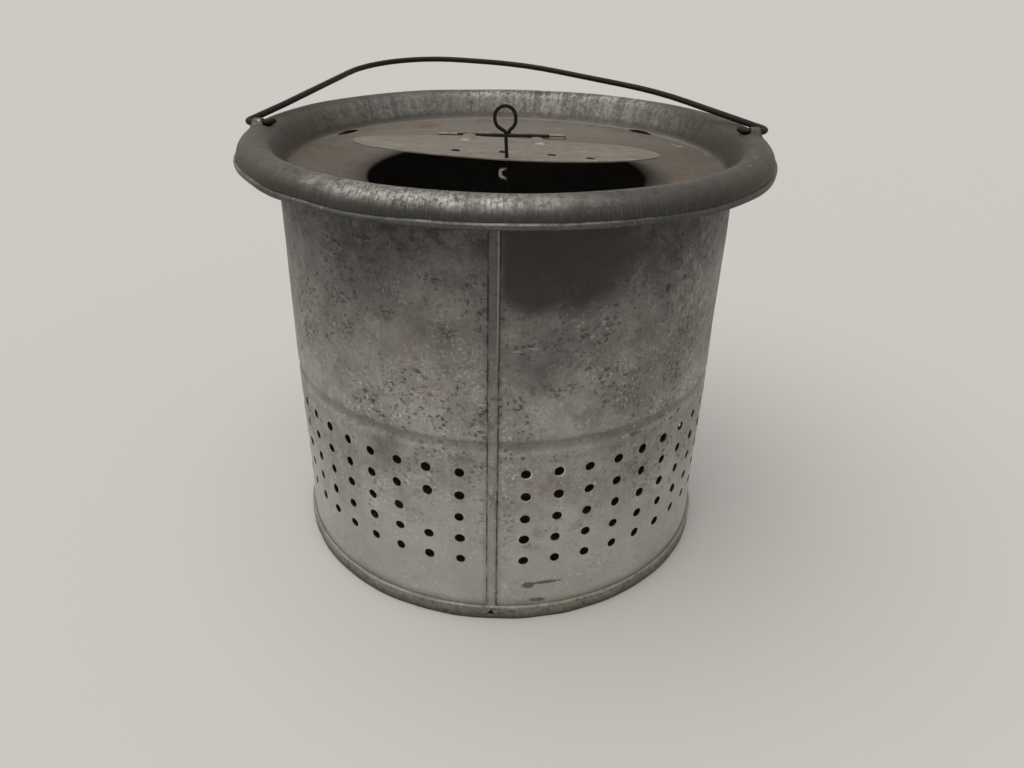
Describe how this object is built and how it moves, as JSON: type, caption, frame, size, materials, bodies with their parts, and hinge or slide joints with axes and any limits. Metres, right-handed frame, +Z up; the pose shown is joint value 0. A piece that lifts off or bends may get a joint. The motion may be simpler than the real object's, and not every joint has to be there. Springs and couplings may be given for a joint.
{
  "type": "perforated bait bucket",
  "caption": "Round sheet-metal bucket with a perforated lower wall, hollow float collar, recessed deck, hinged round lid with a turn-wire latch, and a folded wire bail.",
  "frame": {"origin": "centre of the foot ring, on the ground", "axes": "+Z up; -Y is the front, where the side seam and the latch are; +X to the right seen from the front"},
  "size_m": [0.267, 0.2764, 0.2464],
  "materials": {
    "body_zinc": "galvanised sheet steel, dulled and mottled grey, with specks and light staining",
    "collar_zinc": "galvanised sheet steel, dulled, with a worn bright crest and brown dust on the deck",
    "lid_zinc": "galvanised sheet steel under brown dust",
    "wire": "steel wire, darkened and lightly rusted",
    "bail_wire": "steel wire, dark brown, lightly rusted, with zinc left at one bend"
  },
  "bodies": {
    "bucket": {"shell": "body_zinc", "bottom": "body_zinc", "deck_pan": "collar_zinc", "collar_underside": "collar_zinc", "hinge_wire": "wire"},
    "lid": {"lid": "lid_zinc", "hinge_leaf": "lid_zinc"},
    "latch": {"latch_wire": "wire"},
    "bail": {"bail": "bail_wire"}
  },
  "joints": [
    {"name": "bail_swing", "type": "hinge", "parent": "bucket", "child": "bail", "pos_m": [0, 0, 0.2209], "axis": [1, 0, 0], "range_deg": [0, 168]},
    {"name": "lid_hinge", "type": "hinge", "parent": "bucket", "child": "lid", "pos_m": [0, 0.054, 0.20625], "axis": [-1, 0, 0], "range_deg": [-5.3, 139]},
    {"name": "latch_turn", "type": "hinge", "parent": "lid", "child": "latch", "pos_m": [0, -0.08925, 0.22596], "axis": [-0.0523, 0.1407, 0.9887], "continuous": true}
  ]
}
